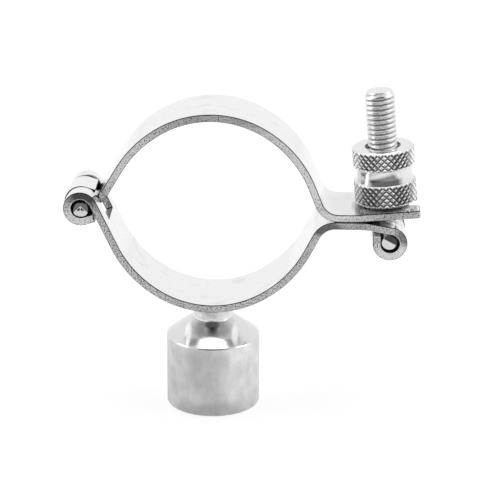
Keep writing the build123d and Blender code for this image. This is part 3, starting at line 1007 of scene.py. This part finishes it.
SURROUND_LIGHT = 0.5  # how strongly the white surround lights the object; seen directly it is 1
FLOOR_GLOW = 0.72  # what the floor shows besides the light that it gives back, so that it looks white
SHADE_MIDDLE = (-0.022, -0.008, 0)  # of the soft shade that the hanger gives the floor
FLAG_HALF_WIDTH, FLAG_HALF_HEIGHT = 0.62, 0.38
FLAG_MIDDLE = (0, -0.5, 0.5)
GROUND_HEIGHT = 0.0006  # just over the floor
WEDGE = (0.9, 1.1)  # the dark ground's half angle as seen from the boss, from full to nothing, in radians


def lamp(name, place, target, size, radiance):
    """A square soft box that gives a radiance, turned towards a point."""
    light = bpy.data.lights.new(name, "AREA")
    light.shape = "SQUARE"
    light.size = size
    light.energy = radiance * pi * size * size
    thing = bpy.data.objects.new(name, light)
    bpy.context.scene.collection.objects.link(thing)
    thing.location = place
    thing.rotation_euler = (Vector(target) - Vector(place)).to_track_quat("-Z", "Y").to_euler()
    thing.visible_camera = False


def plate(name, corners, material):
    """A flat stage plate between two corners of one height."""
    (x0, y0, z), (x1, y1, _) = corners
    bm = bmesh.new()
    bmesh.ops.create_grid(bm, x_segments=1, y_segments=1, size=0.5)
    bmesh.ops.scale(bm, vec=(x1 - x0, y1 - y0, 1), verts=bm.verts)
    bmesh.ops.translate(bm, vec=((x0 + x1) / 2, (y0 + y1) / 2, z), verts=bm.verts)
    thing = as_object(bm, name, [material])
    return thing


def only_for_metal(thing):
    """Lets nothing but reflections show a stage plate."""
    for ray in ("camera", "diffuse", "shadow", "transmission", "volume_scatter"):
        setattr(thing, "visible_" + ray, False)


def stage_material(name):
    """A new material with only its output: the material, its tree and the output's surface."""
    material = bpy.data.materials.new(name)
    material.use_nodes = True
    tree = material.node_tree
    tree.nodes.remove(tree.nodes["Principled BSDF"])
    return material, tree, tree.nodes["Material Output"].inputs["Surface"]


def seen_directly(tree, otherwise, seen):
    """One value for rays from the camera, off metal and through glass, and another for those that only light."""
    path = add(tree, "ShaderNodeLightPath").outputs
    either = add(tree, "ShaderNodeMath", {0: path["Is Camera Ray"], 1: path["Is Glossy Ray"]}, operation="MAXIMUM")
    both = {0: either.outputs[0], 1: path["Is Transmission Ray"]}
    direct = add(tree, "ShaderNodeMath", both, operation="MAXIMUM").outputs[0]
    inputs = {"Value": direct, "From Min": 0, "From Max": 1, "To Min": otherwise, "To Max": seen}
    return add(tree, "ShaderNodeMapRange", inputs).outputs["Result"]


def faded(tree, away, near, far, first, last):
    """A level that goes softly from one to another between two distances."""
    inputs = {"Value": away, "From Min": near, "From Max": far, "To Min": first, "To Max": last}
    return add(tree, "ShaderNodeMapRange", inputs, interpolation_type="SMOOTHSTEP").outputs["Result"]


def foot_shade(tree):
    """How bright the floor is beside the boss's foot: the hanger's own soft shade lies there, and metal shows it."""
    where = add(tree, "ShaderNodeTexCoord").outputs["Object"]
    away = add(tree, "ShaderNodeVectorMath", {0: where, 1: SHADE_MIDDLE}, operation="DISTANCE").outputs["Value"]
    return faded(tree, away, 0.01, 0.075, 0.55, 1)


def white_surround():
    """The world: white to the eye and in the metal, and a plain light for the rest."""
    world = bpy.data.worlds.new("white_surround")
    world.use_nodes = True
    tree = world.node_tree
    background = tree.nodes["Background"]
    background.inputs["Color"].default_value = (1, 1, 1, 1)
    tree.links.new(seen_directly(tree, SURROUND_LIGHT, 1), background.inputs["Strength"])
    return world


def white_floor(s):
    """The pale floor, which keeps the hanger's shadow."""
    floor, tree, surface = stage_material("white_floor")
    diffuse = add(tree, "ShaderNodeBsdfDiffuse", {"Color": (s.floor_grey, s.floor_grey, s.floor_grey, 1)})
    glossy = add(tree, "ShaderNodeLightPath").outputs["Is Glossy Ray"]
    inputs = {"Value": glossy, "From Min": 0, "From Max": 1, "To Min": 1, "To Max": foot_shade(tree)}
    shade = add(tree, "ShaderNodeMapRange", inputs).outputs["Result"]
    level = add(tree, "ShaderNodeMath", {0: seen_directly(tree, 0, FLOOR_GLOW), 1: shade}, operation="MULTIPLY")
    glow = add(tree, "ShaderNodeEmission", {"Strength": level.outputs[0]})
    both = add(tree, "ShaderNodeAddShader", {0: diffuse.outputs[0], 1: glow.outputs[0]})
    tree.links.new(both.outputs[0], surface)
    plate("floor", ((-2, -2, 0), (2, 2, 0)), floor)


def front_flag(s):
    """A dark flag behind the camera, soft towards its edge, which gives the faces that look at it their grey."""
    flag, tree, surface = stage_material("dark_flag")
    where = add(tree, "ShaderNodeTexCoord").outputs["Object"]
    scale = (1 / FLAG_HALF_WIDTH, 0, 1 / FLAG_HALF_HEIGHT)
    middle = [-size * place for size, place in zip(scale, FLAG_MIDDLE)]
    spot = add(tree, "ShaderNodeMapping", {"Vector": where, "Scale": scale, "Location": middle}).outputs["Vector"]
    away = add(tree, "ShaderNodeVectorMath", {0: spot}, operation="LENGTH").outputs["Value"]
    glow = add(tree, "ShaderNodeEmission", {"Strength": faded(tree, away, 0.45, 1, s.flag_grey, 1)})
    tree.links.new(glow.outputs[0], surface)
    corners = ((-FLAG_HALF_WIDTH, -FLAG_HALF_HEIGHT, 0), (FLAG_HALF_WIDTH, FLAG_HALF_HEIGHT, 0))
    upright = plate("front_flag", corners, flag)
    upright.data.transform(Matrix.Translation(FLAG_MIDDLE) @ Matrix.Rotation(radians(90), 4, "X"))
    only_for_metal(upright)


def front_ground(s):
    """The ground between the hanger and the camera, darker further out, for the faces that look down at it."""
    fade, tree, surface = stage_material("darkening_ground")
    place = add(tree, "ShaderNodeTexCoord").outputs["Object"]
    parts = add(tree, "ShaderNodeSeparateXYZ", {0: place}).outputs
    away = add(tree, "ShaderNodeVectorMath", {0: place}, operation="LENGTH").outputs["Value"]
    level = faded(tree, away, 0.07, 0.14, 1, s.ground_grey)
    back = add(tree, "ShaderNodeMath", {0: parts["Y"], 1: -1}, operation="MULTIPLY").outputs[0]
    turn = add(tree, "ShaderNodeMath", {0: parts["X"], 1: back}, operation="ARCTAN2").outputs[0]
    wide = add(tree, "ShaderNodeMath", {0: turn}, operation="ABSOLUTE").outputs[0]
    inputs = {"Value": wide, "From Min": WEDGE[0], "From Max": WEDGE[1], "To Min": level, "To Max": 1}
    wedge = add(tree, "ShaderNodeMapRange", inputs).outputs["Result"]
    dimmed = add(tree, "ShaderNodeMath", {0: wedge, 1: foot_shade(tree)}, operation="MULTIPLY")
    glow = add(tree, "ShaderNodeEmission", {"Strength": dimmed.outputs[0]})
    tree.links.new(glow.outputs[0], surface)
    only_for_metal(plate("front_ground", ((-0.4, -0.24, GROUND_HEIGHT), (0.4, -0.02, GROUND_HEIGHT)), fade))


def studio_camera(s):
    """The camera at the photograph's angle."""
    data = bpy.data.cameras.new("camera")
    data.lens = s.lens
    data.sensor_width = 36
    data.clip_start = 0.01
    camera = bpy.data.objects.new("camera", data)
    bpy.context.scene.collection.objects.link(camera)
    forward = Vector((-sin(s.yaw) * cos(s.pitch), cos(s.yaw) * cos(s.pitch), -sin(s.pitch)))
    right = forward.cross(Vector((0, 0, 1))).normalized()
    up = right.cross(forward)
    across = cos(s.roll) * right + sin(s.roll) * up
    upwards = cos(s.roll) * up - sin(s.roll) * right
    turn = Matrix((across, upwards, -forward)).transposed().to_4x4()
    camera.matrix_world = Matrix.Translation(s.stand) @ turn
    return camera


class HANGER_OT_stage(bpy.types.Operator):
    """Makes the floor, the light and the camera"""

    bl_idname = "hanger.stage"
    bl_label = "Stage"

    def execute(self, context):
        scene = context.scene
        s = scene.hanger_stage
        scene.view_settings.view_transform = "Standard"
        scene.world = white_surround()
        white_floor(s)
        front_flag(s)
        front_ground(s)
        centre = (0, 0, 0.035)
        lamp("softbox_top", (0, 0.1, 0.75), centre, 0.6, 1.35)
        lamp("softbox_left", (-0.8, -0.1, 0.45), centre, 0.5, 1.2)
        lamp("softbox_right", (0.8, -0.1, 0.45), centre, 0.5, 1.3)
        scene.camera = studio_camera(s)
        return {"FINISHED"}


# ------------------------------------------------------------------ add-on

GROUPS = [
    ("hanger_stage", StageSettings, HANGER_OT_stage),
    ("hanger_bands", BandSettings, HANGER_OT_bands),
    ("hanger_pins", PinSettings, HANGER_OT_pins),
    ("hanger_bolt", BoltSettings, HANGER_OT_bolt),
    ("hanger_nut", NutSettings, HANGER_OT_nut),
    ("hanger_boss", BossSettings, HANGER_OT_boss),
    ("hanger_weld", WeldSettings, HANGER_OT_weld),
]


class HANGER_PT_panel(bpy.types.Panel):
    """Sizes, colours and operators of the hanger"""

    bl_label = "Hinged pipe hanger"
    bl_idname = "HANGER_PT_panel"
    bl_space_type = "VIEW_3D"
    bl_region_type = "UI"
    bl_category = "Hanger"

    def draw(self, context):
        for attribute, group, operator in GROUPS:
            box = self.layout.box()
            box.operator(operator.bl_idname)
            for name in group.__annotations__:
                box.prop(getattr(context.scene, attribute), name)


def register():
    for attribute, group, operator in GROUPS:
        bpy.utils.register_class(group)
        bpy.utils.register_class(operator)
        setattr(bpy.types.Scene, attribute, PointerProperty(type=group))
    bpy.utils.register_class(HANGER_PT_panel)


def unregister():
    bpy.utils.unregister_class(HANGER_PT_panel)
    for attribute, group, operator in reversed(GROUPS):
        delattr(bpy.types.Scene, attribute)
        bpy.utils.unregister_class(operator)
        bpy.utils.unregister_class(group)


def main():
    register()
    bpy.ops.hanger.stage()
    bpy.ops.hanger.bands()
    bpy.ops.hanger.pins()
    bpy.ops.hanger.bolt()
    bpy.ops.hanger.nut()
    bpy.ops.hanger.boss()
    bpy.ops.hanger.weld()


if __name__ == "__main__":
    main()
